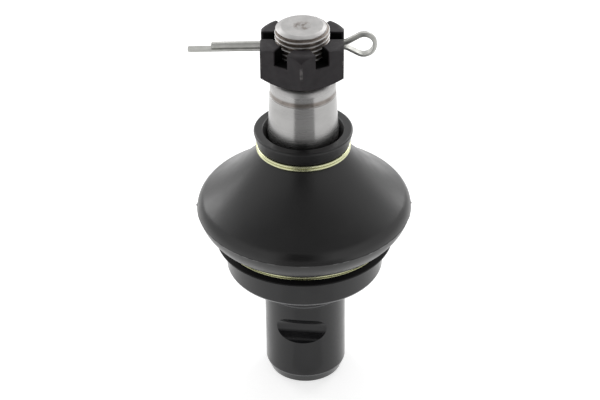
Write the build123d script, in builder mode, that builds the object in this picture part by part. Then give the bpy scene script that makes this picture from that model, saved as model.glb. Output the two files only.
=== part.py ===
"""Suspension ball joint with a clamp shank, a dust boot, a castle nut and a split pin.

Millimetres. The origin is the centre of the shank's end face and +Z runs up the stud.
The pinch-bolt groove faces -Y and the stud stands upright, in the middle of its swing.
"""
import os
from math import acos, asin, atan2, cos, degrees, hypot, radians, sin, sqrt, tan

from build123d import *

# Clamp shank and flange
shank_diameter = 25.0
shank_length = 39.0
clamp_length = 29.1
shank_root_step = 0.4
shank_lead_length = 3.1
shank_lead_step = 1.2
flange_step = 0.6
flange_thickness = 9.5
flange_edge = 0.7

# Groove across the shank, in which the pinch bolt lies
pinch_bolt_diameter = 10.0
pinch_bolt_play = 0.1
pinch_bolt_height = 20.55
pinch_groove_depth = 2.7

# Ball and its plastic bearing shells
ball_diameter = 30.0
ball_rise = 7.5
ball_flat_diameter = 8.0
ball_play = 0.1
shell_wall = 2.9
shell_cone_wall = 2.3
shell_foot_wall = 2.0
shell_split_gap = 0.6
shell_mouth_rise = 6.3
shell_drain_diameter = 10.0
shell_play = 0.1

# Disc spring that presses the lower shell to the ball
spring_diameter = 14.0
spring_bore = 7.2
spring_thickness = 0.7
spring_height = 1.1
spring_pocket_play = 0.3

# Closing ring, and the socket rim that is rolled over it
closing_ring_thickness = 2.0
closing_ring_width = 4.1
rolled_lip_height = 0.9
rolled_lip_width = 1.6
rim_wall = 5.4
rim_shoulder_height = 3.2
rim_shoulder_width = 2.4
rim_groove_depth = 1.0
rim_groove_height = 4.1

# Ball stud above the ball
neck_diameter = 17.0
neck_height = 16.0
neck_round = 3.0
neck_flare_height = 5.0
seat_diameter = 21.1
seat_height = 9.0
cone_length = 13.8
cone_taper = 0.1
land_step = 0.25
land_length = 3.2
land_round = 2.2
relief_diameter = 14.2
relief_length = 1.5
thread_diameter = 16.0
thread_length = 15.3
thread_end_width = 1.9
thread_end_height = 1.0
centre_dimple_diameter = 5.9
centre_dimple_depth = 0.7
stud_turn = 5.0

# Castle nut
nut_across_flats = 24.0
nut_height = 11.7
nut_top_inset = 3.3
nut_slot_width = 4.5
nut_slot_depth = 4.8
nut_slot_count = 6
nut_chamfer_share = 0.95
nut_chamfer_angle = 30.0
nut_crown_face_diameter = 22.0
nut_crown_drop = 2.7
nut_bore_play = 0.05
nut_bore_chamfer = 0.7

# Split pin
pin_hole_diameter = 4.0
pin_diameter = 3.0
pin_leg_gap = 0.6
pin_slot_clearance = 0.1
pin_askew = 2.5
pin_upper_leg = 26.3
pin_lower_leg = 33.1
pin_eye_start_gap = 0.6
pin_eye_length = 7.8
pin_eye_height = 5.4
pin_eye_bend = 4.0

# Dust boot
boot_clearance = 0.3
boot_wall = 1.8
boot_collar_wall = 4.4
boot_collar_edge = 0.5
boot_collar_height = 3.2
boot_overhang = 5.5
boot_bulge_radius = 8.7
boot_shoulder_radius = 5.0
boot_flank_radius = 79.0
boot_neck_wall = 2.3
boot_neck_groove_height = 2.4
boot_neck_groove_depth = 0.4
boot_lip_width = 4.0
boot_lip_rise = 1.3
boot_lip_flare = 1.0
boot_lip_height = 4.4
boot_lip_edge = 0.4
boot_mouth_step = 1.3
boot_mouth_depth = 1.8
boot_flash_height = 0.2
boot_flash_width = 0.5

# Wire rings that hold the boot
ring_wire_diameter = 0.95
ring_turn_pitch = 0.9
ring_play = 0.05

# Radii
shank_radius = shank_diameter / 2
shank_root_radius = shank_radius + shank_root_step
shank_lead_radius = shank_radius - shank_lead_step
ball_radius = ball_diameter / 2
shell_inner_radius = ball_radius + ball_play
socket_radius = shell_inner_radius + shell_wall
shell_outer_radius = socket_radius - shell_play
rim_radius = socket_radius + rim_wall
rim_groove_radius = rim_radius - rim_groove_depth
flange_radius = rim_radius + flange_step
spring_pocket_radius = spring_diameter / 2 + spring_pocket_play
neck_radius = neck_diameter / 2
seat_radius = seat_diameter / 2
cone_end_radius = seat_radius - cone_taper / 2 * cone_length
land_radius = cone_end_radius - land_step
relief_radius = relief_diameter / 2
thread_radius = thread_diameter / 2
nut_flat_radius = nut_across_flats / 2
nut_bore_radius = thread_radius + nut_bore_play
pin_radius = (pin_diameter - pin_leg_gap) / 2
ring_wire_radius = ring_wire_diameter / 2

# Heights up the housing
flange_base_z = shank_length
flange_top_z = flange_base_z + flange_thickness
ball_z = flange_top_z + ball_rise
shell_foot_z = ball_z - shell_inner_radius - shell_foot_wall
pocket_floor_z = shell_foot_z - spring_height
shell_mouth_z = ball_z + shell_mouth_rise
closing_ring_top_z = shell_mouth_z + closing_ring_thickness
rim_top_z = closing_ring_top_z + rolled_lip_height
rim_groove_top_z = flange_top_z + rim_groove_height

# Heights up the stud
neck_top_z = ball_z + neck_height
seat_base_z = neck_top_z + neck_flare_height
cone_base_z = seat_base_z + seat_height
cone_top_z = cone_base_z + cone_length
land_top_z = cone_top_z + land_length
thread_base_z = land_top_z + land_round + relief_length
stud_top_z = thread_base_z + thread_length
nut_top_z = stud_top_z - nut_top_inset
nut_base_z = nut_top_z - nut_height
slot_floor_z = nut_top_z - nut_slot_depth
pin_z = slot_floor_z + pin_slot_clearance + pin_diameter / 2

# Places of the 45 degree cones below the ball: each line is r = z - apex z
shell_cone_apex_z = ball_z - (shell_inner_radius + shell_cone_wall) * sqrt(2)
socket_cone_apex_z = shell_cone_apex_z - shell_play * sqrt(2)


def lathe_half(*points):
    """Closed outline in the XZ plane from (radius, height) points, as a face to revolve."""
    with BuildSketch(Plane.XZ) as half:
        with BuildLine():
            Polyline(*points, close=True)
        make_face()
    return half.sketch


def sphere_height(radius, at_radius):
    """Height above the ball's centre at which a sphere has the radius at_radius."""
    return sqrt(radius ** 2 - at_radius ** 2)


def upright_plane(height, turn):
    """Vertical plane through the stud's axis, with its origin at a height, turned about Z."""
    angle = radians(turn)
    return Plane(
        origin=(0, 0, height), x_dir=(cos(angle), sin(angle), 0), z_dir=(sin(angle), -cos(angle), 0)
    )


# Housing: shank, flange and socket in one forging
shank_and_socket = lathe_half(
    (0, 0),
    (shank_lead_radius, 0),
    (shank_radius, shank_lead_length),
    (shank_radius, clamp_length),
    (shank_root_radius, clamp_length),
    (shank_root_radius, flange_base_z),
    (flange_radius - flange_edge, flange_base_z),
    (flange_radius, flange_base_z + flange_edge),
    (flange_radius, flange_top_z),
    (rim_groove_radius, flange_top_z),
    (rim_groove_radius, rim_groove_top_z),
    (rim_radius, rim_groove_top_z),
    (rim_radius, rim_top_z - rim_shoulder_height),
    (rim_radius - rim_shoulder_width, rim_top_z),
    (socket_radius - rolled_lip_width, rim_top_z),
    (socket_radius - rolled_lip_width, closing_ring_top_z),
    (socket_radius, closing_ring_top_z),
    (socket_radius, socket_cone_apex_z + socket_radius),
    (spring_pocket_radius, socket_cone_apex_z + spring_pocket_radius),
    (spring_pocket_radius, pocket_floor_z),
    (0, pocket_floor_z),
)
pinch_groove_radius = pinch_bolt_diameter / 2 + pinch_bolt_play
pinch_axis_y = pinch_groove_depth - shank_radius - pinch_groove_radius
with BuildPart() as housing:
    add(shank_and_socket)
    revolve(axis=Axis.Z)
    with BuildSketch(Plane.YZ):
        with Locations((pinch_axis_y, pinch_bolt_height)):
            Circle(pinch_groove_radius)
    extrude(amount=2 * shank_radius, both=True, mode=Mode.SUBTRACT)

# Lower bearing shell: a cup on a 45 degree cone, with a hole for grease in its foot
drain_radius = shell_drain_diameter / 2
shell_lower_top_z = ball_z - shell_split_gap / 2
lower_rim_radius = sphere_height(shell_inner_radius, shell_split_gap / 2)
with BuildPart() as lower_bearing_shell:
    with BuildSketch(Plane.XZ):
        with BuildLine():
            cup = RadiusArc(
                (drain_radius, ball_z - sphere_height(shell_inner_radius, drain_radius)),
                (lower_rim_radius, shell_lower_top_z),
                -shell_inner_radius,
            )
            Polyline(
                cup @ 1,
                (shell_outer_radius, shell_lower_top_z),
                (shell_outer_radius, shell_cone_apex_z + shell_outer_radius),
                (shell_foot_z - shell_cone_apex_z, shell_foot_z),
                (drain_radius, shell_foot_z),
                cup @ 0,
            )
        make_face()
    revolve(axis=Axis.Z)

# Upper bearing shell: closes over the ball's equator up to its mouth
shell_upper_base_z = ball_z + shell_split_gap / 2
mouth_radius = sphere_height(shell_inner_radius, shell_mouth_rise)
with BuildPart() as upper_bearing_shell:
    with BuildSketch(Plane.XZ):
        with BuildLine():
            dome = RadiusArc(
                (lower_rim_radius, shell_upper_base_z),
                (mouth_radius, shell_mouth_z),
                -shell_inner_radius,
            )
            Polyline(
                dome @ 1,
                (shell_outer_radius, shell_mouth_z),
                (shell_outer_radius, shell_upper_base_z),
                dome @ 0,
            )
        make_face()
    revolve(axis=Axis.Z)

# Disc spring: a shallow cone that stands on its outer edge and lifts the shell at its bore
spring_rise = spring_height - spring_thickness
with BuildPart() as preload_spring:
    add(
        lathe_half(
            (spring_diameter / 2, pocket_floor_z),
            (spring_diameter / 2, pocket_floor_z + spring_thickness),
            (spring_bore / 2, shell_foot_z),
            (spring_bore / 2, pocket_floor_z + spring_rise),
        )
    )
    revolve(axis=Axis.Z)

# Closing ring under the rolled rim
with BuildPart() as closing_ring:
    with BuildSketch(Plane.XY.offset(shell_mouth_z)):
        Circle(shell_outer_radius)
        Circle(shell_outer_radius - closing_ring_width, mode=Mode.SUBTRACT)
    extrude(amount=closing_ring_thickness)
    ring_top = closing_ring.faces().sort_by(Axis.Z)[-1]
    chamfer(ring_top.inner_wires()[0].edges(), closing_ring_thickness / 4)

# Ball stud: ball, neck, boot seat, cone, land and thread in one turned piece
ball_flat_radius = ball_flat_diameter / 2
hole_plane = upright_plane(pin_z, stud_turn)
with BuildPart() as ball_stud:
    with BuildSketch(Plane.XZ):
        with BuildLine():
            ball = RadiusArc(
                (ball_flat_radius, ball_z - sphere_height(ball_radius, ball_flat_radius)),
                (ball_radius, ball_z),
                -ball_radius,
            )
            ball_cap = RadiusArc(
                ball @ 1,
                (neck_radius, ball_z + sphere_height(ball_radius, neck_radius)),
                -ball_radius,
            )
            land_corner = RadiusArc(
                (land_radius, land_top_z),
                (land_radius - land_round, land_top_z + land_round),
                -land_round,
            )
            Polyline(
                ball_cap @ 1,
                (neck_radius, neck_top_z),
                (seat_radius, seat_base_z),
                (seat_radius, cone_base_z),
                (cone_end_radius, cone_top_z),
                (land_radius, cone_top_z + land_step),
                land_corner @ 0,
            )
            Polyline(
                land_corner @ 1,
                (relief_radius, land_top_z + land_round),
                (relief_radius, thread_base_z),
                (thread_radius, thread_base_z + thread_radius - relief_radius),
                (thread_radius, stud_top_z - thread_end_height),
                (thread_radius - thread_end_width, stud_top_z),
                (centre_dimple_diameter / 2, stud_top_z),
                (0, stud_top_z - centre_dimple_depth),
                (0, (ball @ 0).Y),
                ball @ 0,
            )
        make_face()
    revolve(axis=Axis.Z)
    neck_edges = ball_stud.edges().filter_by(GeomType.CIRCLE).filter_by(
        lambda edge: abs(edge.radius - neck_radius) < 0.01
    )
    fillet(neck_edges, neck_round)
    with BuildSketch(Plane(origin=hole_plane.origin, z_dir=hole_plane.x_dir)):
        Circle(pin_hole_diameter / 2)
    extrude(amount=seat_radius, both=True, mode=Mode.SUBTRACT)

# Castle nut: hexagon with a chamfered base and a rounded crown, a bore and slots through its flats
nut_corner_radius = nut_flat_radius / cos(radians(30))
nut_face_radius = nut_flat_radius * nut_chamfer_share
nut_chamfer_drop = (nut_corner_radius - nut_face_radius) * tan(radians(nut_chamfer_angle))
with BuildSketch(Plane.XZ) as nut_blank:
    with BuildLine():
        crown = TangentArc(
            (nut_crown_face_diameter / 2, nut_top_z),
            (nut_corner_radius, nut_top_z - nut_crown_drop),
            tangent=(1, 0),
        )
        Polyline(
            crown @ 1,
            (nut_corner_radius, nut_base_z + nut_chamfer_drop),
            (nut_face_radius, nut_base_z),
            (0, nut_base_z),
            (0, nut_top_z),
            crown @ 0,
        )
    make_face()
nut_plane = Plane(origin=(0, 0, nut_base_z), x_dir=hole_plane.x_dir, z_dir=(0, 0, 1))
with BuildPart() as castle_nut:
    with BuildSketch(nut_plane):
        RegularPolygon(nut_flat_radius, 6, major_radius=False, rotation=30)
        Circle(nut_bore_radius, mode=Mode.SUBTRACT)
    extrude(amount=nut_height)
    add(nut_blank.sketch)
    revolve(axis=Axis.Z, mode=Mode.INTERSECT)
    bore_edges = castle_nut.edges().filter_by(GeomType.CIRCLE).filter_by(
        lambda edge: abs(edge.radius - nut_bore_radius) < 0.01
    )
    chamfer(bore_edges, nut_bore_chamfer)
    with BuildSketch(nut_plane.offset(nut_height)):
        with PolarLocations(nut_flat_radius, nut_slot_count):
            Rectangle(nut_flat_radius, nut_slot_width)
    extrude(amount=-nut_slot_depth, mode=Mode.SUBTRACT)

# Split pin: half-round wire, two legs of unequal length and a drop-shaped eye, askew in its hole
pin_plane = upright_plane(pin_z, stud_turn + pin_askew)
eye_start = nut_flat_radius + pin_eye_start_gap
eye_radius = pin_eye_height / 2
eye_end = eye_start + pin_eye_length
eye_spread = pin_eye_length * eye_radius / sqrt((pin_eye_length - eye_radius) ** 2 - eye_radius ** 2)
eye_corner_round = eye_radius * 0.97
with BuildPart() as split_pin:
    with BuildLine(pin_plane) as pin_path:
        FilletPolyline(
            (-pin_upper_leg, pin_leg_gap / 2),
            (eye_start, pin_leg_gap / 2),
            (eye_end, eye_spread),
            (eye_end, -eye_spread),
            (eye_start, -pin_leg_gap / 2),
            (-pin_lower_leg, -pin_leg_gap / 2),
            radius=(pin_eye_bend, eye_corner_round, eye_corner_round, pin_eye_bend),
        )
    with BuildSketch(
        Plane(origin=pin_path.line @ 0, x_dir=-pin_plane.z_dir, z_dir=pin_plane.x_dir)
    ):
        Circle(pin_radius)
        Rectangle(
            2 * pin_radius, pin_radius, align=(Align.CENTER, Align.MAX), mode=Mode.SUBTRACT
        )
    sweep(path=pin_path.line)

# Dust boot: collar on the housing, bulge up to the seam, shoulder, hollow flank, neck on the stud
boot_base_z = flange_top_z + boot_clearance
collar_bore_radius = rim_groove_radius + boot_clearance
collar_radius = collar_bore_radius + boot_collar_wall
collar_top_z = boot_base_z + boot_collar_height
seam_radius = collar_radius + boot_overhang
bulge_axis_r = seam_radius - boot_bulge_radius
bulge_low_angle = degrees(acos(1 - boot_overhang / boot_bulge_radius))
seam_z = collar_top_z + boot_bulge_radius * sin(radians(bulge_low_angle))
boot_shelf_z = seam_z - boot_bulge_radius + boot_wall + boot_clearance
shelf_angle = degrees(asin((seam_z - boot_shelf_z) / (boot_bulge_radius - boot_wall)))
rim_clear_radius = rim_radius + boot_clearance
ring_half_height = ring_turn_pitch / 2 + ring_wire_radius
ring_seat_radius = collar_radius - ring_wire_radius
base_ring_z = collar_top_z - ring_play - ring_half_height
base_groove_z = base_ring_z - ring_half_height - ring_play

neck_bore_radius = seat_radius + boot_clearance
neck_groove_radius = neck_bore_radius + boot_neck_wall
lip_radius = neck_bore_radius + boot_lip_width
lip_top_z = cone_base_z + boot_lip_rise
lip_base_z = lip_top_z - boot_lip_height
neck_groove_z = lip_base_z - boot_neck_groove_height
foot_radius = neck_groove_radius + boot_neck_groove_depth
foot_z = neck_groove_z - boot_neck_groove_depth

# The flank is an arc that leaves the shoulder smoothly and ends at the neck's foot
shoulder_axis_r = seam_radius - boot_shoulder_radius
foot_reach = hypot(foot_radius - shoulder_axis_r, foot_z - seam_z)
flank_reach = boot_shoulder_radius + boot_flank_radius
reach_share = (flank_reach ** 2 - boot_flank_radius ** 2 + foot_reach ** 2) / (2 * foot_reach * flank_reach)
shoulder_angle = atan2(foot_z - seam_z, foot_radius - shoulder_axis_r) - acos(reach_share)
flank_axis_r = shoulder_axis_r + flank_reach * cos(shoulder_angle)
flank_axis_z = seam_z + flank_reach * sin(shoulder_angle)
flank_turn = atan2(flank_axis_z - foot_z, flank_axis_r - foot_radius) - shoulder_angle


def boot_arcs(depth, low_angle):
    """Bulge, shoulder and flank arcs, a depth below the boot's outer face: their two ends."""
    bulge = CenterArc(
        (bulge_axis_r, seam_z), boot_bulge_radius - depth, -low_angle, low_angle
    )
    CenterArc(
        (shoulder_axis_r, seam_z), boot_shoulder_radius - depth, 0, degrees(shoulder_angle)
    )
    flank = CenterArc(
        (flank_axis_r, flank_axis_z),
        boot_flank_radius + depth,
        180 + degrees(shoulder_angle),
        degrees(flank_turn),
    )
    return bulge @ 0, flank @ 1


with BuildPart() as dust_boot:
    with BuildSketch(Plane.XZ):
        with BuildLine():
            collar_corner, neck_foot = boot_arcs(0, bulge_low_angle)
            shelf_corner, inner_foot = boot_arcs(boot_wall, shelf_angle)
            Polyline(
                collar_corner,
                (ring_seat_radius, collar_top_z),
                (ring_seat_radius, base_groove_z),
                (collar_radius, base_groove_z),
                (collar_radius, boot_base_z + boot_collar_edge),
                (collar_radius - boot_collar_edge, boot_base_z),
                (collar_bore_radius, boot_base_z),
                (collar_bore_radius, rim_groove_top_z - boot_clearance),
                (rim_clear_radius, rim_groove_top_z - boot_clearance),
                (rim_clear_radius, boot_shelf_z),
                shelf_corner,
            )
            Polyline(
                neck_foot,
                (neck_groove_radius, neck_groove_z),
                (neck_groove_radius, lip_base_z),
                (lip_radius - boot_lip_flare, lip_base_z),
                (lip_radius, lip_top_z - boot_lip_edge),
                (lip_radius - boot_lip_edge, lip_top_z),
                (neck_bore_radius + boot_mouth_step, lip_top_z),
                (neck_bore_radius, lip_top_z - boot_mouth_depth),
                (neck_bore_radius, inner_foot.Y),
                inner_foot,
            )
        make_face()
    revolve(axis=Axis.Z)
    with BuildSketch(Plane.XZ):
        with Locations((seam_radius, seam_z)):
            Rectangle(2 * boot_flash_height, boot_flash_width)
    revolve(axis=Axis.Z)


def wire_ring_half(groove_radius, middle_z):
    """Outline of a ring of two touching turns of round wire in a groove of the boot."""
    wire_r = groove_radius + ring_play + ring_wire_radius
    with BuildSketch(Plane.XZ) as half:
        with Locations((wire_r, middle_z)):
            with GridLocations(0, ring_turn_pitch, 1, 2):
                Circle(ring_wire_radius)
    return half.sketch


# Wire ring in the boot's neck groove, and wire ring round its collar
with BuildPart() as boot_top_ring:
    add(wire_ring_half(neck_groove_radius, (neck_groove_z + lip_base_z) / 2))
    revolve(axis=Axis.Z)

with BuildPart() as boot_base_ring:
    add(wire_ring_half(ring_seat_radius, base_ring_z))
    revolve(axis=Axis.Z)

pieces = {
    "housing": housing,
    "lower_bearing_shell": lower_bearing_shell,
    "upper_bearing_shell": upper_bearing_shell,
    "preload_spring": preload_spring,
    "closing_ring": closing_ring,
    "ball_stud": ball_stud,
    "castle_nut": castle_nut,
    "split_pin": split_pin,
    "dust_boot": dust_boot,
    "boot_top_ring": boot_top_ring,
    "boot_base_ring": boot_base_ring,
}
os.makedirs("parts", exist_ok=True)
for name, piece in pieces.items():
    piece.part.label = name
    export_step(piece.part, f"parts/{name}.step")
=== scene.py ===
"""Suspension ball joint on a pale studio floor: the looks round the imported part.

Outlines are in millimetres, as (radius, height) about the stud's axis, and meshes in metres.
"""
from functools import cached_property, reduce
from math import acos, asin, atan2, ceil, cos, pi, radians, sin, sqrt, tan

import bpy
from mathutils import Matrix, Vector, noise


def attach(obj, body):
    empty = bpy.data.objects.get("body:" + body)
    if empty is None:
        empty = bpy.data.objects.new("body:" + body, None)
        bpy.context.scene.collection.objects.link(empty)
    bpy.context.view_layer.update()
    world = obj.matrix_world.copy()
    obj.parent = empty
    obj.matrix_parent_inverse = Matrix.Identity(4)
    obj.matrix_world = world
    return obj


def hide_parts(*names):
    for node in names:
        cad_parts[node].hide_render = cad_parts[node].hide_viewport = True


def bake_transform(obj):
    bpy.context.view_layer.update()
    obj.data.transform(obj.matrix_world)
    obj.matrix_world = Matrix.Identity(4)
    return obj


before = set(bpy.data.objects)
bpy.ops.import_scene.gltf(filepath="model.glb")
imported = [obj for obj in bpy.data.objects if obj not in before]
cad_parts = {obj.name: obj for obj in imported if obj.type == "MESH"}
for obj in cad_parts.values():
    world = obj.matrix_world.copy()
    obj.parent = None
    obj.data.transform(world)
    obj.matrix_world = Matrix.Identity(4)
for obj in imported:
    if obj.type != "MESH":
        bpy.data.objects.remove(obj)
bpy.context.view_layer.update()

MM = 0.001

# Housing; the flange's facets are given as inset and rise from its lower edge
SHANK_R = 12.5
SHANK_ROOT_R = 12.9
SHANK_ROOT_RISE = 0.3
SHANK_LEAD_R = 11.3
SHANK_LEAD_Z = 3.1
CLAMP_TOP_Z = 29.1
FLANGE_R = 24.0
FLANGE_BASE_Z = 39.0
FLANGE_TOP_Z = 48.5
FLANGE_FACETS = ((0.65, 0.0), (0.3, 0.35), (0.0, 0.95))
RIM_R = 23.4
RIM_GROOVE_R = 22.4
RIM_GROOVE_TOP_Z = 52.6
RIM_TOP_Z = 65.2
RIM_SHOULDER_WIDTH = 2.4
RIM_SHOULDER_HEIGHT = 3.2
ROLLED_LIP_WIDTH = 1.6
ROLLED_LIP_HEIGHT = 0.9
SOCKET_R = 18.0
SOCKET_CONE_TOP_Z = 49.1
POCKET_R = 7.3
POCKET_TOP_Z = 38.45
POCKET_FLOOR_Z = 37.8
PINCH_R = 5.1
PINCH_AXIS_Y = -14.9
PINCH_Z = 20.55

# Ball stud; the fillet is out from the neck and up from the ball's centre, the dish out and down
BALL_R = 15.0
BALL_Z = 56.0
BALL_FLAT_R = 4.0
NECK_R = 8.5
NECK_FILLET = ((0.3, 12.4), (0.0, 14.5))
NECK_FILLET_TURN = 0.12
NECK_TOP_Z = 72.0
SEAT_R = 10.55
SEAT_BASE_Z = 77.0
CONE_BASE_Z = 86.0
CONE_TOP_Z = 99.8
CONE_END_R = 9.86
LAND_R = 9.74
LAND_STEP_HEIGHT = 0.12
LAND_TOP_Z = 103.0
LAND_ROUND = 2.2
RELIEF_R = 7.1
THREAD_R = 8.0
THREAD_PITCH = 1.5
THREAD_DEPTH = 0.92
THREAD_ROOT_SHARE = 0.25
THREAD_FLANK_SHARE = 0.625
THREAD_ROWS_A_PITCH = 12
THREAD_START_STEP = 0.01
THREAD_BASE_Z = 106.7
STUD_TOP_Z = 122.0
END_WIDTH = 1.9
END_HEIGHT = 1.0
END_EDGE_WIDTH = 0.15
END_EDGE_HEIGHT = 0.02
END_RECESS_R = 2.95
END_DISH = ((0.2, 0.0), (0.0, 0.03), (-0.3, 0.11), (-0.7, 0.22), (-1.3, 0.3))
END_DISH_DEPTH = 0.36
STUD_TURN = radians(5.0)

# Castle nut and split pin
NUT_FLAT_R = 12.0
NUT_BASE_Z = 107.0
NUT_TOP_Z = 118.7
NUT_FACE_R = 11.4
NUT_CHAMFER = radians(30)
NUT_CHAMFER_PLAY = 0.05
NUT_CROWN_R = 2.86
NUT_CROWN_PLAY = 0.09
NUT_BORE_R = 8.05
NUT_BORE_CHAMFER = 0.7
SLOT_WIDTH = 4.5
SLOT_FLOOR_Z = 113.9
PIN_Z = 115.5
PIN_R = 1.2
PIN_HALF_GAP = 0.3
PIN_HOLE_R = 2.0
PIN_TURN = radians(7.5)
PIN_TIP_LENGTH = 0.3
PIN_TIP_SHARE = 0.75
UPPER_LEG = 26.3
LOWER_LEG = 33.1
EYE_START = 12.6
EYE_END = 20.4
EYE_R = 2.7
EYE_ROUND = EYE_R * 0.97
EYE_BEND = 4.0

# Dust boot; angles in radians from the front, or in the outline's plane from outward to upward
BOOT_WALL = 1.8
BOOT_CLEARANCE = 0.3
BOOT_BASE_Z = 48.8
COLLAR_BORE_R = 22.7
COLLAR_BORE_TOP_Z = 52.3
COLLAR_R = 27.1
COLLAR_EDGE_HEIGHT = 0.55
POCKET_ROOF_Z = 51.9
LEDGE_GAP = 0.12
LEDGE_DROP = 0.98
UNDERSIDE_R = 13.0
UNDERSIDE_LOW = (28.2, 53.1)
UNDERSIDE_FOOT = (26.9, 52.3)
SEAM_R = 32.6
SEAM_Z = 60.09
FLASH = 0.16
FLASH_HALF_HEIGHTS = (0.09, 0.02)
FLASH_MEAN = 0.55
FLASH_WAVES = 14
TAB_ANGLES = (-1.46, 1.69)
TAB_HALF_ANGLE = 0.022
TAB_REACH = 0.3
SHOULDER_R = 5.0
INNER_SHOULDER_START = 0.15
FLANK_R = 79.0
FLANK_STEP = 0.008
NECK_BORE_R = 10.85
NECK_GROOVE_R = 13.15
NECK_GROOVE_Z = 80.5
NECK_GROOVE_DEPTH = 0.4
LIP_BASE_Z = 82.9
LIP_TOP_Z = 87.3
LIP_R = 14.85
LIP_WAIST_R = 13.85
LIP_EDGE_WIDTH = 0.6
LIP_EDGE_HEIGHT = 0.2
MOUTH_R = 12.15
MOUTH_FLOOR_Z = 85.5

# Wire rings; start is the angle at which the wire begins, from the front
WIRE_R = 0.475
WIRE_PITCH = 0.9
WIRE_CLIMB = radians(25)
TOP_RING_R = 13.675
TOP_RING_Z = 81.7
TOP_RING_START = 2.6
BASE_RING_R = 25.2
BASE_RING_Z = 50.4
BASE_RING_START = 2.9

# Small edges, and the tools that cut a piece and reach past its faces
EDGE_WIDTH = 0.16
EDGE_ANGLE = radians(28)
CUTTER_LENGTH = 40
CUTTER_MARGIN = 1

# Belts of a material as (low, high, blur) in height, and rings as such a band in radius and one in height
# Painted highlights on the housing: a pale belt round the shank and pale rings at the flange's and the lead's
# edges
SHANK_HIGHLIGHT_BELT = (30.0, 30.35, 0.15)
FLANGE_EDGE_HIGHLIGHT = (23, 25, 0.1), (FLANGE_BASE_Z, FLANGE_BASE_Z + 0.65, 0.12)
LEAD_EDGE_HIGHLIGHT = (12.2, 13, 0.1), (SHANK_LEAD_Z - 0.15, SHANK_LEAD_Z + 0.15, 0.12)
# Painted shade below the boot's overhang, on its collar and in the pocket of the lower ring
RING_POCKET_SHADE = (0, 27.6, 0.2), (40, 52.8, 0.2)
# Painted shade on the stud: a dark belt in the hollow above the cone, and dark thread roots
LAND_SHADE_BELT = (100.0, 101.5, 0.45)
TURNED_PART = (103.5, 130, 0.6)
THREAD_ROOT_SHADE = (-1, 7.74, 0.14), (105, 121.1, 0.1)
END_CENTRE = (-1, 2.5, 0.8), (121, 123, 0.2)
# Painted shade: the nut's slots are darkened
NUT_SLOT_SHADE = (-1, 11.6, 0.2), (108, 118.2, 0.2)
NUT_CORNERS = (13.62, 15, 0.1), (111.6, 115.4, 0.6)

# Values of a noise at which a ramp starts and ends
EVEN = (0.3, 0.7)
WIDE = (0.3, 0.75)
MOTTLED = (0.4, 0.6)
SPOTTED = (0.42, 0.62)

# Camera: distance and target in metres, lens and sensor in millimetres
CAMERA_AZIMUTH = radians(6.8)
CAMERA_ELEVATION = radians(34.06)
CAMERA_ROLL = radians(-0.72)
CAMERA_DISTANCE = 0.6
CAMERA_LENS = 118.5
CAMERA_SENSOR = 36
CAMERA_TARGET = Vector((-0.00123, 0, 0.06156))

# Floor in millimetres and lamps in metres and watts; the sky fades between two heights on a unit sphere
FLOOR_HALF_WIDTH = 4000
FLOOR_GREY = 0.72
FLOOR_GLOW = 0.62
SKY_FILL = 0.55
SKY_FADE = (0.55, 0.9)
SKY_SEEN = (1.0, 0.35)
SOFTBOX_AIM = Vector((0, 0, 0.06))
SOFTBOXES = (
    ("left_softbox", (-0.62, 0.5, 0.5), (0.35, 0.5), 1.7),
    ("right_softbox", (0.42, 0.7, 0.5), (0.35, 0.5), 1.7),
    ("top_softbox", (0, 0.35, 0.9), (0.7, 0.5), 1.5),
)

# Cards that only reflections show, as painted reflections of a dimmer floor in front and the dark room behind
# the camera: corners in millimetres, grey and glow
CARDS = (
    ("dim_floor_reflection_card", [(-7, -18, 0.4), (14, -15, 0.4), (78, -82, 0.4), (-41, -101, 0.4)], 0.8, 0.42),
    ("dark_front_floor_reflection", [(-41, -101, 0.5), (78, -82, 0.5), (409, -439, 0.5), (-225, -556, 0.5)], 0.5, 0),
    ("dark_room_side", [(-300, -1000, 0), (440, -1000, 0), (440, -1000, 1200), (-300, -1000, 1200)], 0.1, 0),
)


# Meshes

def add_mesh(name, points, faces, smooth_below=32.0):
    """Object from points in millimetres, smooth across edges that turn less than an angle."""
    mesh = bpy.data.meshes.new(name)
    mesh.from_pydata([Vector(p) * MM for p in points], [], faces)
    mesh.shade_smooth()
    mesh.set_sharp_from_angle(angle=radians(smooth_below))
    obj = bpy.data.objects.new(name, mesh)
    bpy.context.scene.collection.objects.link(obj)
    return obj


def rounded(corners, steps=6, margin=0.15):
    """Outline through (r, z, round) corners: an arc at each round, with a point close beside it."""
    outline = []
    count = len(corners)
    for i, (r, z, size) in enumerate(corners):
        here = Vector((r, z))
        if not size or i in (0, count - 1):
            outline.append((r, z))
            continue
        back = (Vector(corners[i - 1][:2]) - here).normalized()
        ahead = (Vector(corners[i + 1][:2]) - here).normalized()
        half_turn = (pi - back.angle(ahead)) / 2
        reach = size * tan(half_turn)
        centre = here + (back + ahead).normalized() * size / cos(half_turn)
        first = here + back * reach - centre
        turn = 2 * half_turn * (1 if back.cross(ahead) < 0 else -1)
        if margin:
            outline.append(tuple(here + back * reach * (1 + margin)))
        for k in range(steps + 1):
            angle = turn * k / steps
            x = first.x * cos(angle) - first.y * sin(angle)
            y = first.x * sin(angle) + first.y * cos(angle)
            outline.append((centre.x + x, centre.y + y))
        if margin:
            outline.append(tuple(here + ahead * reach * (1 + margin)))
    return outline


def arc(axis, radius, start, turn, step=0.05):
    """Points of an arc in the (r, z) plane; angles in radians, from outward to upward."""
    count = max(2, ceil(abs(turn) / step))
    angles = [start + turn * k / count for k in range(count + 1)]
    return [(axis[0] + radius * cos(angle), axis[1] + radius * sin(angle)) for angle in angles]


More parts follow.
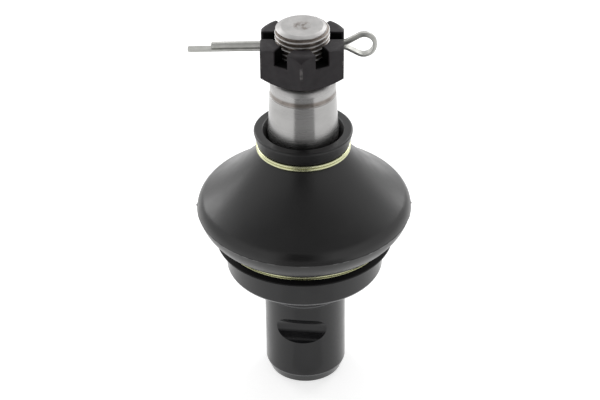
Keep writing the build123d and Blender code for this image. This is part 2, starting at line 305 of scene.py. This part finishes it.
def lathe(name, outline, segments=192, closed=False, surface=None, smooth_below=32.0):
    """Solid of revolution of an (r, z) outline; surface(angle, r, z) may move each point."""
    points, rings = [], []
    for r, z in outline:
        if r < 1e-6:
            rings.append([len(points)])
            points.append((0, 0, z))
            continue
        ring = []
        for k in range(segments):
            angle = 2 * pi * k / segments
            here_r, here_z = surface(angle, r, z) if surface else (r, z)
            ring.append(len(points))
            points.append((here_r * sin(angle), -here_r * cos(angle), here_z))
        rings.append(ring)
    faces = []
    pairs = list(zip(rings, rings[1:])) + ([(rings[-1], rings[0])] if closed else [])
    for low, high in pairs:
        for k in range(segments):
            n = (k + 1) % segments
            if len(low) == 1:
                faces.append((low[0], high[n], high[k]))
            elif len(high) == 1:
                faces.append((low[k], low[n], high[0]))
            else:
                faces.append((low[k], low[n], high[n], high[k]))
    return add_mesh(name, points, faces, smooth_below)


def sweep(name, path, across, section):
    """Tube of a closed section along a path: across(i) gives the section's two directions."""
    points, faces = [], []
    size = len(section)
    for i, place in enumerate(path):
        first, second = across(i)
        points += [tuple(place + first * u + second * v) for u, v in section]
    for i in range(len(path) - 1):
        for k in range(size):
            n = (k + 1) % size
            faces.append((i * size + k, i * size + n, (i + 1) * size + n, (i + 1) * size + k))
    faces.append(tuple(reversed(range(size))))
    faces.append(tuple(range(len(points) - size, len(points))))
    return add_mesh(name, points, faces, smooth_below=50.0)


def apply_modifiers(obj):
    depsgraph = bpy.context.evaluated_depsgraph_get()
    mesh = bpy.data.meshes.new_from_object(obj.evaluated_get(depsgraph))
    obj.modifiers.clear()
    obj.data = mesh


def cut(obj, tool, operation="DIFFERENCE"):
    """Boolean of obj with tool, which is then deleted."""
    change = obj.modifiers.new("cut", "BOOLEAN")
    change.object = tool
    change.operation = operation
    change.solver = "EXACT"
    apply_modifiers(obj)
    bpy.data.objects.remove(tool)
    return obj


def softened(obj):
    """Rounds the sharp edges of obj and keeps its flats flat."""
    edge = obj.modifiers.new("edges", "BEVEL")
    edge.width = EDGE_WIDTH * MM
    edge.segments = 3
    edge.limit_method = "ANGLE"
    edge.angle_limit = EDGE_ANGLE
    edge.harden_normals = False
    flat = obj.modifiers.new("flats", "WEIGHTED_NORMAL")
    flat.keep_sharp = True
    apply_modifiers(obj)
    return obj


def rod(radius, direction, centre, sides=96):
    """Plain cylinder that cuts right through a piece."""
    half = CUTTER_LENGTH / 2
    tool = lathe("tool", [(0, -half), (radius, -half), (radius, half), (0, half)], sides)
    turn = Vector((0, 0, 1)).rotation_difference(Vector(direction)).to_matrix().to_4x4()
    tool.data.transform(Matrix.Translation(Vector(centre) * MM) @ turn)
    return tool


def block(size, centre, turn):
    """Plain box, for cutting."""
    x, y, z = (s / 2 for s in size)
    points = [(sx * x, sy * y, sz * z) for sx in (-1, 1) for sy in (-1, 1) for sz in (-1, 1)]
    faces = [(0, 1, 3, 2), (4, 6, 7, 5), (0, 4, 5, 1), (2, 3, 7, 6), (0, 2, 6, 4), (1, 5, 7, 3)]
    tool = add_mesh("tool", points, faces)
    tool.data.transform(Matrix.Rotation(turn, 4, "Z") @ Matrix.Translation(Vector(centre) * MM))
    return tool


# Materials

def grey(level):
    return (level, level, level, 1)


class Shader:
    """A Principled material and short calls for the nodes that feed it."""

    def __init__(self, name, **sockets):
        self.material = bpy.data.materials.new(name)
        self.material.use_nodes = True
        self.nodes = self.material.node_tree.nodes
        self.links = self.material.node_tree.links
        self.main = self.nodes["Principled BSDF"]
        for socket, value in sockets.items():
            self.main.inputs[socket.replace("_", " ")].default_value = value
        self.place = self.nodes.new("ShaderNodeTexCoord").outputs["Object"]

    def feed(self, socket, value):
        """Links a varying value or colour to a socket of the material."""
        self.links.new(value, self.main.inputs[socket])

    def plug(self, sockets, values):
        """Links each socket to its value, or sets it where the value is a plain one."""
        for socket, value in zip(sockets, values):
            if isinstance(value, bpy.types.NodeSocket):
                self.links.new(value, socket)
            else:
                socket.default_value = value

    def math(self, operation, *values):
        node = self.nodes.new("ShaderNodeMath")
        node.operation = operation
        self.plug(node.inputs, values)
        return node.outputs["Value"]

    def most(self, *values):
        """The largest of several values."""
        return reduce(lambda first, second: self.math("MAXIMUM", first, second), values)

    def mix(self, share, first, second):
        """The first colour where the share is 0 and the second where it is 1."""
        mix = self.nodes.new("ShaderNodeMix")
        mix.data_type = "RGBA"
        self.plug((mix.inputs["Factor"], mix.inputs["A"], mix.inputs["B"]), (share, first, second))
        return mix.outputs["Result"]

    def noise(self, scale, detail, place=None):
        texture = self.nodes.new("ShaderNodeTexNoise")
        texture.inputs["Scale"].default_value = scale
        texture.inputs["Detail"].default_value = detail
        self.links.new(place or self.place, texture.inputs["Vector"])
        return texture.outputs["Fac"]

    def ramp(self, value, first, second, ends=EVEN):
        """Goes from the first colour or level to the second between two values."""
        ramp = self.nodes.new("ShaderNodeValToRGB")
        for element, position, colour in zip(ramp.color_ramp.elements, ends, (first, second)):
            element.position = position
            element.color = colour if isinstance(colour, tuple) else grey(colour)
        self.links.new(value, ramp.inputs["Fac"])
        return ramp.outputs["Color"]

    def patches(self, scale, detail, first, second, ends=EVEN):
        """Patches of two colours or levels; a larger scale makes them smaller."""
        return self.ramp(self.noise(scale, detail), first, second, ends)

    def bump(self, scale, detail, height, strength):
        """Fine unevenness of a height in millimetres."""
        bump = self.nodes.new("ShaderNodeBump")
        bump.inputs["Strength"].default_value = strength
        bump.inputs["Distance"].default_value = height * MM
        self.links.new(self.noise(scale, detail), bump.inputs["Height"])
        self.feed("Normal", bump.outputs["Normal"])

    @cached_property
    def radius_and_height(self):
        """Distance from the part's axis and height, both in millimetres."""
        apart = self.nodes.new("ShaderNodeSeparateXYZ")
        self.links.new(self.place, apart.inputs["Vector"])
        squares = [self.math("MULTIPLY", apart.outputs[axis], apart.outputs[axis]) for axis in "XY"]
        radius = self.math("SQRT", self.math("ADD", *squares))
        return self.math("MULTIPLY", radius, 1 / MM), self.math("MULTIPLY", apart.outputs["Z"], 1 / MM)

    def band(self, value, low, high, blur):
        """1 where a value lies between two limits, 0 outside them, with blurred ends."""
        ends = []
        for limit, sense in ((low, 1), (high, -1)):
            end = self.nodes.new("ShaderNodeMapRange")
            end.interpolation_type = "SMOOTHSTEP"
            end.inputs["From Min"].default_value = limit - sense * blur
            end.inputs["From Max"].default_value = limit + sense * blur
            self.links.new(value, end.inputs["Value"])
            ends.append(end.outputs["Result"])
        return self.math("MULTIPLY", *ends)

    def belt(self, heights):
        """1 between two heights, 0 below and above them."""
        return self.band(self.radius_and_height[1], *heights)

    def ring(self, radii, heights):
        """1 between two radii and two heights, 0 elsewhere."""
        radius = self.radius_and_height[0]
        return self.math("MULTIPLY", self.band(radius, *radii), self.belt(heights))


def black_paint():
    """Black paint, with pale highlights painted along two edges and in a thin line round the shank."""
    paint = Shader("black_paint", Specular_IOR_Level=0.48)
    # Pale lines painted as highlights: a belt round the shank, and rings at the flange's and the lead's edges
    line = paint.math("MULTIPLY", paint.belt(SHANK_HIGHLIGHT_BELT), 0.6)
    painted_edge_highlights = paint.most(paint.ring(*FLANGE_EDGE_HIGHLIGHT), paint.ring(*LEAD_EDGE_HIGHLIGHT), line)
    black = paint.patches(90, 4, (0.004, 0.004, 0.005, 1), (0.007, 0.007, 0.008, 1))
    paint.feed("Base Color", paint.mix(painted_edge_highlights, black, (0.22, 0.22, 0.23, 1)))
    paint.feed("Roughness", paint.patches(260, 5, 0.16, 0.26, WIDE))
    paint.bump(420, 2, 0.04, 0.35)
    return paint.material


def boot_rubber():
    """Black rubber with a faint bloom, its reflection turned down as painted shade in the pocket of the lower
    ring.
    """
    rubber = Shader("boot_rubber")
    bloom = rubber.patches(70, 5, (0.004, 0.004, 0.0045, 1), (0.008, 0.0075, 0.0075, 1), WIDE)
    rubber.feed("Base Color", bloom)
    # Painted shade: the reflection is turned down on the collar and in the ring's pocket, where the boot's
    # overhang shades them
    rubber.feed("Specular IOR Level", rubber.mix(rubber.ring(*RING_POCKET_SHADE), grey(0.5), grey(0.12)))
    rubber.feed("Roughness", rubber.patches(180, 5, 0.28, 0.38, WIDE))
    rubber.bump(700, 3, 0.03, 0.4)
    return rubber.material


def ground_steel():
    """Ground cone, and a duller turned thread, with painted shade in its roots and in a belt above the cone,
    and a stain at the end's centre.
    """
    steel = Shader("ground_steel", Metallic=1.0, Anisotropic_Rotation=0.25)
    tangent = steel.nodes.new("ShaderNodeTangent")
    tangent.direction_type = "RADIAL"
    tangent.axis = "Z"
    steel.feed("Tangent", tangent.outputs["Tangent"])
    turned = steel.belt(TURNED_PART)
    ground_colour = steel.patches(150, 3, (0.36, 0.355, 0.35, 1), (0.42, 0.415, 0.41, 1))
    turned_colour = steel.patches(400, 4, (0.42, 0.415, 0.41, 1), (0.5, 0.49, 0.485, 1))
    # Dark brown used as painted shade in the thread roots and the belt above the cone, and as a stain at the
    # end's centre
    stain_and_shade_colour = steel.patches(500, 4, (0.12, 0.1, 0.085, 1), (0.24, 0.21, 0.19, 1))
    land_shade = steel.math("MULTIPLY", steel.belt(LAND_SHADE_BELT), 0.85)
    centre = steel.math("MULTIPLY", steel.ring(*END_CENTRE), steel.patches(900, 3, 0.15, 0.8, MOTTLED))
    shade_and_stain = steel.most(steel.ring(*THREAD_ROOT_SHADE), land_shade, centre)
    steel.feed("Base Color", steel.mix(shade_and_stain, steel.mix(turned, ground_colour, turned_colour), stain_and_shade_colour))
    squashed = steel.nodes.new("ShaderNodeMapping")
    squashed.inputs["Scale"].default_value = (1, 1, 60)
    steel.links.new(steel.place, squashed.inputs["Vector"])
    rings = steel.noise(60, 4, squashed.outputs["Vector"])
    steel.feed("Roughness", steel.mix(turned, steel.ramp(rings, 0.23, 0.28), steel.ramp(rings, 0.42, 0.55)))
    steel.feed("Anisotropic", steel.mix(turned, grey(0.75), grey(0.0)))
    return steel.material


def nut_finish():
    """Dull black finish, with painted shade in the slots, and pale spots where the corners are rubbed."""
    finish = Shader("black_nut_finish")
    # Painted shade: the slots are darkened and their reflection turned down
    slot_shade = finish.ring(*NUT_SLOT_SHADE)
    black = finish.patches(220, 5, (0.0205, 0.0175, 0.0195, 1), (0.0265, 0.023, 0.0255, 1), WIDE)
    rubbed = finish.math("MULTIPLY", finish.ring(*NUT_CORNERS), finish.patches(700, 3, 0.0, 0.8, SPOTTED))
    outside = finish.mix(rubbed, black, (0.16, 0.15, 0.15, 1))
    finish.feed("Base Color", finish.mix(slot_shade, outside, grey(0.002)))
    finish.feed("Roughness", finish.patches(500, 4, 0.48, 0.64))
    finish.feed("Specular IOR Level", finish.mix(slot_shade, grey(0.28), grey(0.1)))
    finish.bump(1600, 3, 0.04, 0.4)
    return finish.material


def zinc_wire():
    zinc = Shader("zinc_wire", Metallic=1.0)
    zinc.feed("Base Color", zinc.patches(300, 4, (0.36, 0.36, 0.34, 1), (0.46, 0.46, 0.44, 1)))
    zinc.feed("Roughness", zinc.patches(700, 3, 0.35, 0.5))
    zinc.bump(1800, 2, 0.03, 0.5)
    return zinc.material


def yellow_zinc():
    zinc = Shader("yellow_zinc_wire", Metallic=1.0)
    zinc.feed("Base Color", zinc.patches(120, 3, (0.60, 0.60, 0.36, 1), (0.66, 0.67, 0.43, 1)))
    zinc.feed("Roughness", zinc.patches(700, 3, 0.2, 0.32))
    return zinc.material


def bearing_plastic():
    plastic = Shader("bearing_plastic", Roughness=0.5)
    plastic.feed("Base Color", plastic.patches(200, 3, (0.78, 0.76, 0.68, 1), (0.84, 0.83, 0.76, 1)))
    plastic.bump(900, 2, 0.03, 0.4)
    return plastic.material


def spring_steel():
    steel = Shader("spring_steel", Metallic=1.0)
    steel.feed("Base Color", steel.patches(200, 4, (0.34, 0.34, 0.35, 1), (0.44, 0.44, 0.45, 1)))
    steel.feed("Roughness", steel.patches(500, 3, 0.28, 0.42))
    return steel.material


# Pieces

def make_housing():
    outline = rounded([
        (0, 0, 0),
        (SHANK_LEAD_R, 0, 0.25),
        (SHANK_R, SHANK_LEAD_Z, 0.18),
        (SHANK_R, CLAMP_TOP_Z, 0.12),
        (SHANK_ROOT_R, CLAMP_TOP_Z + SHANK_ROOT_RISE, 0.12),
        (SHANK_ROOT_R, FLANGE_BASE_Z, 0.6),
        *[(FLANGE_R - inset, FLANGE_BASE_Z + rise, 0.2) for inset, rise in FLANGE_FACETS],
        (FLANGE_R, FLANGE_TOP_Z, 0.3),
        (RIM_GROOVE_R, FLANGE_TOP_Z, 0.1),
        (RIM_GROOVE_R, RIM_GROOVE_TOP_Z, 0.1),
        (RIM_R, RIM_GROOVE_TOP_Z, 0.2),
        (RIM_R, RIM_TOP_Z - RIM_SHOULDER_HEIGHT, 0.8),
        (RIM_R - RIM_SHOULDER_WIDTH, RIM_TOP_Z, 0.6),
        (SOCKET_R - ROLLED_LIP_WIDTH, RIM_TOP_Z, 0.3),
        (SOCKET_R - ROLLED_LIP_WIDTH, RIM_TOP_Z - ROLLED_LIP_HEIGHT, 0.05),
        (SOCKET_R, RIM_TOP_Z - ROLLED_LIP_HEIGHT, 0.05),
        (SOCKET_R, SOCKET_CONE_TOP_Z, 0.3),
        (POCKET_R, POCKET_TOP_Z, 0.1),
        (POCKET_R, POCKET_FLOOR_Z, 0.1),
        (0, POCKET_FLOOR_Z, 0),
    ])
    housing = lathe("housing_forging", outline, segments=256)
    cut(housing, rod(PINCH_R, (1, 0, 0), (0, PINCH_AXIS_Y, PINCH_Z), sides=160))
    return softened(housing)


def thread_surface(angle, r, z):
    """Moves a point of the thread to its place on the helix; below the thread nothing moves."""
    if z <= THREAD_BASE_Z or r <= RELIEF_R:
        return r, z
    phase = ((z - THREAD_BASE_Z) / THREAD_PITCH - angle / (2 * pi)) % 1.0
    share = min(max((abs(2 * phase - 1) - THREAD_ROOT_SHARE) / THREAD_FLANK_SHARE, 0), 1)
    return min(r, THREAD_R - THREAD_DEPTH * (1 - share)), z


def make_stud():
    ball_start = asin(-sqrt(BALL_R ** 2 - BALL_FLAT_R ** 2) / BALL_R)
    ball_end = acos(NECK_R / BALL_R) - NECK_FILLET_TURN
    turned = [(0, BALL_Z + BALL_R * sin(ball_start))]
    turned += arc((0, BALL_Z), BALL_R, ball_start, ball_end - ball_start)
    turned += rounded([
        *[(NECK_R + out, BALL_Z + up, 0) for out, up in NECK_FILLET],
        (NECK_R, NECK_TOP_Z, 3.0),
        (SEAT_R, SEAT_BASE_Z, 0.6),
        (SEAT_R, CONE_BASE_Z, 0),
    ])
    turned += rounded([
        (SEAT_R, CONE_BASE_Z, 0),
        (CONE_END_R, CONE_TOP_Z, 0.12),
        (LAND_R, CONE_TOP_Z + LAND_STEP_HEIGHT, 0.05),
        (LAND_R, LAND_TOP_Z + LAND_ROUND, LAND_ROUND),
        (RELIEF_R, LAND_TOP_Z + LAND_ROUND, 0),
        (RELIEF_R, THREAD_BASE_Z, 0),
    ], steps=8)[1:]
    thread_length = STUD_TOP_Z - THREAD_BASE_Z
    rows = round(thread_length / THREAD_PITCH * THREAD_ROWS_A_PITCH)
    for k in range(1, rows):
        rise = thread_length * k / rows
        below_end = thread_length - END_HEIGHT - rise
        end_r = THREAD_R + below_end * END_WIDTH / END_HEIGHT
        turned.append((min(THREAD_R, RELIEF_R + rise + THREAD_START_STEP, end_r), THREAD_BASE_Z + rise))
    turned += [
        (THREAD_R - END_WIDTH, STUD_TOP_Z - END_EDGE_HEIGHT),
        (THREAD_R - END_WIDTH - END_EDGE_WIDTH, STUD_TOP_Z),
        *[(END_RECESS_R + out, STUD_TOP_Z - down) for out, down in END_DISH],
        (0, STUD_TOP_Z - END_DISH_DEPTH),
    ]
    stud = lathe("turned_stud", turned, surface=thread_surface, smooth_below=20)
    return cut(stud, rod(PIN_HOLE_R, (cos(STUD_TURN), sin(STUD_TURN), 0), (0, 0, PIN_Z)))


def make_nut():
    corner_r = NUT_FLAT_R / cos(pi / 6)
    corners = []
    for z in (NUT_BASE_Z, NUT_TOP_Z):
        for k in range(6):
            angle = STUD_TURN + k * pi / 3
            corners.append((corner_r * sin(angle), -corner_r * cos(angle), z))
    faces = [(k, (k + 1) % 6, 6 + (k + 1) % 6, 6 + k) for k in range(6)]
    faces += [tuple(range(5, -1, -1)), tuple(range(6, 12))]
    nut = add_mesh("castle_nut_body", corners, faces)
    chamfer_z = NUT_BASE_Z + (corner_r - NUT_FACE_R) * tan(NUT_CHAMFER) + NUT_CHAMFER_PLAY
    widest_r = corner_r + NUT_CROWN_PLAY
    blank = lathe("blank", [
        (0, NUT_BASE_Z),
        (NUT_FACE_R, NUT_BASE_Z),
        (widest_r, chamfer_z),
        *arc((widest_r - NUT_CROWN_R, NUT_TOP_Z - NUT_CROWN_R), NUT_CROWN_R, 0, pi / 2, step=0.1),
        (0, NUT_TOP_Z),
    ], segments=120)
    cut(nut, blank, "INTERSECT")
    slot_height = NUT_TOP_Z - SLOT_FLOOR_Z + CUTTER_MARGIN
    for k in range(3):
        size = (CUTTER_LENGTH, SLOT_WIDTH, slot_height)
        cut(nut, block(size, (0, 0, SLOT_FLOOR_Z + slot_height / 2), STUD_TURN + k * pi / 3))
    mouth_r = NUT_BORE_R + NUT_BORE_CHAMFER + CUTTER_MARGIN
    bore = lathe("bore", [
        (0, NUT_BASE_Z - CUTTER_MARGIN),
        (mouth_r, NUT_BASE_Z - CUTTER_MARGIN),
        (NUT_BORE_R, NUT_BASE_Z + NUT_BORE_CHAMFER),
        (NUT_BORE_R, NUT_TOP_Z - NUT_BORE_CHAMFER),
        (mouth_r, NUT_TOP_Z + CUTTER_MARGIN),
        (0, NUT_TOP_Z + CUTTER_MARGIN),
    ], segments=96)
    cut(nut, bore)
    return softened(nut)


def make_split_pin():
    along = Vector((cos(PIN_TURN), sin(PIN_TURN), 0))
    sideways = Vector((-sin(PIN_TURN), cos(PIN_TURN), 0))
    up = Vector((0, 0, 1))
    length = EYE_END - EYE_START
    spread = length * EYE_R / sqrt((length - EYE_R) ** 2 - EYE_R ** 2)
    line = rounded([
        (-UPPER_LEG, PIN_HALF_GAP, 0),
        (-UPPER_LEG + PIN_TIP_LENGTH, PIN_HALF_GAP, 0),
        (EYE_START, PIN_HALF_GAP, EYE_BEND),
        (EYE_END, spread, EYE_ROUND),
        (EYE_END, -spread, EYE_ROUND),
        (EYE_START, -PIN_HALF_GAP, EYE_BEND),
        (-LOWER_LEG + PIN_TIP_LENGTH, -PIN_HALF_GAP, 0),
        (-LOWER_LEG, -PIN_HALF_GAP, 0),
    ], steps=16, margin=0)
    path = [along * x + up * (z + PIN_Z) for x, z in line]

    def across(i):
        before = path[max(i - 1, 0)]
        after = path[min(i + 1, len(path) - 1)]
        outward = (after - before).normalized().cross(sideways)
        share = PIN_TIP_SHARE if i in (0, len(path) - 1) else 1.0
        return sideways * share, outward * share

    sides = 14
    section = [(PIN_R * cos(pi * k / sides), max(PIN_R * sin(pi * k / sides), 0.0)) for k in range(sides + 1)]
    return sweep("split_pin_wire", path, across, section)


def make_wire_ring(name, radius, middle_z, start):
    """One wire in nearly two turns, of which the second climbs onto the first."""
    sides, steps = 16, 360
    turns = 4 * pi - WIRE_CLIMB
    path = []
    for k in range(steps + 1):
        angle = turns * k / steps
        climb = min(max((angle - 2 * pi + WIRE_CLIMB) / WIRE_CLIMB, 0), 1)
        z = middle_z + WIRE_PITCH * (climb * climb * (3 - 2 * climb) - 0.5)
        path.append(Vector((radius * sin(start + angle), -radius * cos(start + angle), z)))

    def across(i):
        outward = Vector((path[i].x, path[i].y, 0)).normalized()
        return outward, Vector((0, 0, 1))

    section = [(WIRE_R * cos(2 * pi * k / sides), -WIRE_R * sin(2 * pi * k / sides)) for k in range(sides)]
    return sweep(name, path, across, section)


def boot_skins():
    """Outer and inner outlines of the boot between its collar and its neck, from the base up."""
    foot = Vector((NECK_GROOVE_R + NECK_GROOVE_DEPTH, NECK_GROOVE_Z - NECK_GROOVE_DEPTH))
    crease = Vector((SEAM_R - FLASH, SEAM_Z))
    shoulder_axis = Vector((crease.x - SHOULDER_R, SEAM_Z))
    reach = foot - shoulder_axis
    both = SHOULDER_R + FLANK_R
    share = (both ** 2 - FLANK_R ** 2 + reach.length_squared) / (2 * reach.length * both)
    rise = atan2(reach.y, reach.x) - acos(share)
    flank_axis = shoulder_axis + both * Vector((cos(rise), sin(rise)))
    flank_turn = atan2(flank_axis.y - foot.y, flank_axis.x - foot.x) - rise
    low = Vector(UNDERSIDE_LOW)
    chord = crease - low
    inward = Vector((-chord.y, chord.x)).normalized()
    axis = (crease + low) / 2 + inward * sqrt(UNDERSIDE_R ** 2 - chord.length_squared / 4)
    start = atan2(low.y - axis.y, low.x - axis.x)
    turn = atan2(crease.y - axis.y, crease.x - axis.x) - start
    skins = []
    for depth, shoulder_start in ((0, 0), (BOOT_WALL, INNER_SHOULDER_START)):
        skin = arc(axis, UNDERSIDE_R - depth, start, turn)
        skin += arc(shoulder_axis, SHOULDER_R - depth, shoulder_start, rise - shoulder_start)[1:]
        skin += arc(flank_axis, FLANK_R + depth, pi + rise, flank_turn, FLANK_STEP)[1:]
        skins.append(skin)
    return skins


def mould_seam(angle, r, z):
    """The thin flash along the boot's widest line, uneven, with a small tab on either side."""
    if r < SEAM_R - 0.01:
        return r, z
    ragged = noise.noise(Vector((cos(angle), sin(angle), 0)) * FLASH_WAVES)
    tabs = sum(max(0, 1 - abs((angle - at + pi) % (2 * pi) - pi) / TAB_HALF_ANGLE) for at in TAB_ANGLES)
    return SEAM_R - FLASH + FLASH * (FLASH_MEAN + (1 - FLASH_MEAN) * ragged) + TAB_REACH * tabs, z


def make_boot():
    outer, inner = boot_skins()
    pocket_r = BASE_RING_R - WIRE_R
    pocket_floor_z = BASE_RING_Z - LEDGE_DROP
    ledge_r = BASE_RING_R + WIRE_R + LEDGE_GAP
    collar = rounded([
        (COLLAR_BORE_R, COLLAR_BORE_TOP_Z, 0),
        (COLLAR_BORE_R, BOOT_BASE_Z, 0.3),
        (COLLAR_R, BOOT_BASE_Z, 0.15),
        (COLLAR_R, BOOT_BASE_Z + COLLAR_EDGE_HEIGHT, 0.15),
        (ledge_r, BASE_RING_Z, 0.08),
        (ledge_r, pocket_floor_z, 0.05),
        (pocket_r, pocket_floor_z, 0.2),
        (pocket_r, POCKET_ROOF_Z, 0.2),
        (*UNDERSIDE_FOOT, 0.3),
        (*UNDERSIDE_LOW, 0),
    ])
    neck = rounded([
        (*outer[-1], 0),
        (NECK_GROOVE_R, NECK_GROOVE_Z, 0.3),
        (NECK_GROOVE_R, LIP_BASE_Z, 0.15),
        (LIP_WAIST_R, LIP_BASE_Z, 0.25),
        (LIP_R, LIP_TOP_Z - LIP_EDGE_HEIGHT, 0.5),
        (LIP_R - LIP_EDGE_WIDTH, LIP_TOP_Z, 0.4),
        (MOUTH_R, LIP_TOP_Z, 0.5),
        (NECK_BORE_R, MOUTH_FLOOR_Z, 0.5),
        (NECK_BORE_R, inner[-1][1], 0.2),
        (*inner[-1], 0),
    ])
    crease = next(i for i, point in enumerate(outer) if abs(point[1] - SEAM_Z) < 1e-3)
    root, edge = FLASH_HALF_HEIGHTS
    outer[crease:crease + 1] = [
        (SEAM_R - FLASH, SEAM_Z - root),
        (SEAM_R, SEAM_Z - edge),
        (SEAM_R, SEAM_Z + edge),
        (SEAM_R - FLASH, SEAM_Z + root),
    ]
    bore_r = RIM_R + BOOT_CLEARANCE
    outline = collar[:-1] + outer + neck[1:-1] + list(reversed(inner))
    outline += [(bore_r, inner[0][1]), (bore_r, COLLAR_BORE_TOP_Z)]
    return lathe("boot_moulding", outline, segments=512, closed=True, surface=mould_seam, smooth_below=31)


def dress(piece, node, material, body=None):
    """The piece stands for a node, takes its slot and material, and rides on its body."""
    piece.data.materials.clear()
    piece.data.materials.append(material)
    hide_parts(node)
    if body:
        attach(piece, body)


dress(make_housing(), "housing", black_paint(), "housing")
dress(make_stud(), "ball_stud", ground_steel(), "stud")
dress(make_nut(), "castle_nut", nut_finish(), "stud")
dress(make_split_pin(), "split_pin", zinc_wire(), "stud")
neck_ring = make_wire_ring("neck_wire_ring", TOP_RING_R, TOP_RING_Z, TOP_RING_START)
collar_ring = make_wire_ring("collar_wire_ring", BASE_RING_R, BASE_RING_Z, BASE_RING_START)
yellow_wire = yellow_zinc()
dress(neck_ring, "boot_top_ring", yellow_wire, "boot_collar")
dress(collar_ring, "boot_base_ring", yellow_wire, "housing")
boot = make_boot()
dress(boot, "dust_boot", boot_rubber())
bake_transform(boot)

plastic, spring = bearing_plastic(), spring_steel()
for node, finish in (
    ("lower_bearing_shell", plastic),
    ("upper_bearing_shell", plastic),
    ("preload_spring", spring),
    ("closing_ring", spring),
):
    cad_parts[node].data.materials.clear()
    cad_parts[node].data.materials.append(finish)


# Studio

def add_camera():
    turn = Matrix.Rotation(CAMERA_AZIMUTH, 3, "Z")
    ahead = turn @ Vector((0, cos(CAMERA_ELEVATION), -sin(CAMERA_ELEVATION)))
    right = turn @ Vector((1, 0, 0))
    up = right.cross(ahead)
    rolled_right = right * cos(CAMERA_ROLL) + up * sin(CAMERA_ROLL)
    rolled_up = up * cos(CAMERA_ROLL) - right * sin(CAMERA_ROLL)
    axes = Matrix((rolled_right, rolled_up, -ahead)).transposed().to_4x4()
    camera = bpy.data.objects.new("camera", bpy.data.cameras.new("camera"))
    camera.data.lens = CAMERA_LENS
    camera.data.sensor_width = CAMERA_SENSOR
    camera.data.clip_start = 0.01
    camera.matrix_world = Matrix.Translation(turn @ CAMERA_TARGET - ahead * CAMERA_DISTANCE) @ axes
    bpy.context.scene.collection.objects.link(camera)
    bpy.context.scene.camera = camera


def add_softbox(name, place, size, power):
    lamp = bpy.data.lights.new(name, "AREA")
    lamp.shape = "RECTANGLE"
    lamp.size, lamp.size_y = size
    lamp.energy = power
    obj = bpy.data.objects.new(name, lamp)
    obj.location = place
    obj.rotation_euler = (SOFTBOX_AIM - Vector(place)).to_track_quat("-Z", "Y").to_euler()
    bpy.context.scene.collection.objects.link(obj)


def seen_share(nodes, links):
    """1 for camera, glossy and transmission rays, 0 for the rest."""
    path = nodes.new("ShaderNodeLightPath")
    share = path.outputs["Is Camera Ray"]
    for kind in ("Is Glossy Ray", "Is Transmission Ray"):
        either = nodes.new("ShaderNodeMath")
        either.operation = "MAXIMUM"
        links.new(share, either.inputs[0])
        links.new(path.outputs[kind], either.inputs[1])
        share = either.outputs[0]
    return share


def add_floor():
    half = FLOOR_HALF_WIDTH
    corners = [(-half, -half, 0), (half, -half, 0), (half, half, 0), (-half, half, 0)]
    floor = add_mesh("floor", corners, [(0, 1, 2, 3)])
    paper = Shader(
        "pale_floor",
        Base_Color=grey(FLOOR_GREY),
        Roughness=0.9,
        Specular_IOR_Level=0.1,
        Emission_Color=grey(1),
    )
    paper.feed("Emission Strength", paper.math("MULTIPLY", seen_share(paper.nodes, paper.links), FLOOR_GLOW))
    floor.data.materials.append(paper.material)


def add_world():
    """White sky: even as a light, and darker overhead where the camera or a reflection sees it."""
    world = bpy.data.worlds.new("studio")
    world.use_nodes = True
    nodes, links = world.node_tree.nodes, world.node_tree.links
    back = nodes["Background"]
    back.inputs["Color"].default_value = grey(1)
    height = nodes.new("ShaderNodeSeparateXYZ")
    links.new(nodes.new("ShaderNodeTexCoord").outputs["Generated"], height.inputs["Vector"])
    seen = nodes.new("ShaderNodeMapRange")
    seen.interpolation_type = "SMOOTHSTEP"
    for socket, value in zip(("From Min", "From Max", "To Min", "To Max"), SKY_FADE + SKY_SEEN):
        seen.inputs[socket].default_value = value
    links.new(height.outputs["Z"], seen.inputs["Value"])
    level = nodes.new("ShaderNodeMapRange")
    level.inputs["To Min"].default_value = SKY_FILL
    links.new(seen.outputs["Result"], level.inputs["To Max"])
    links.new(seen_share(nodes, links), level.inputs["Value"])
    links.new(level.outputs["Result"], back.inputs["Strength"])
    bpy.context.scene.world = world


def add_card(name, corners, level, glow):
    """Matt card that only reflections show, painting in the reflection of shade, such as the dimmer floor in
    front and the dark side of the room behind the camera.
    """
    card = add_mesh(name, corners, [(0, 1, 2, 3)])
    matt = Shader(
        name,
        Base_Color=grey(level),
        Roughness=1.0,
        Specular_IOR_Level=0.0,
        Emission_Color=grey(1),
        Emission_Strength=glow,
    )
    card.data.materials.append(matt.material)
    card.visible_camera = card.visible_diffuse = card.visible_shadow = False


add_camera()
add_floor()
add_world()
for card in CARDS:
    add_card(*card)
for softbox in SOFTBOXES:
    add_softbox(*softbox)
bpy.context.scene.view_settings.view_transform = "Standard"
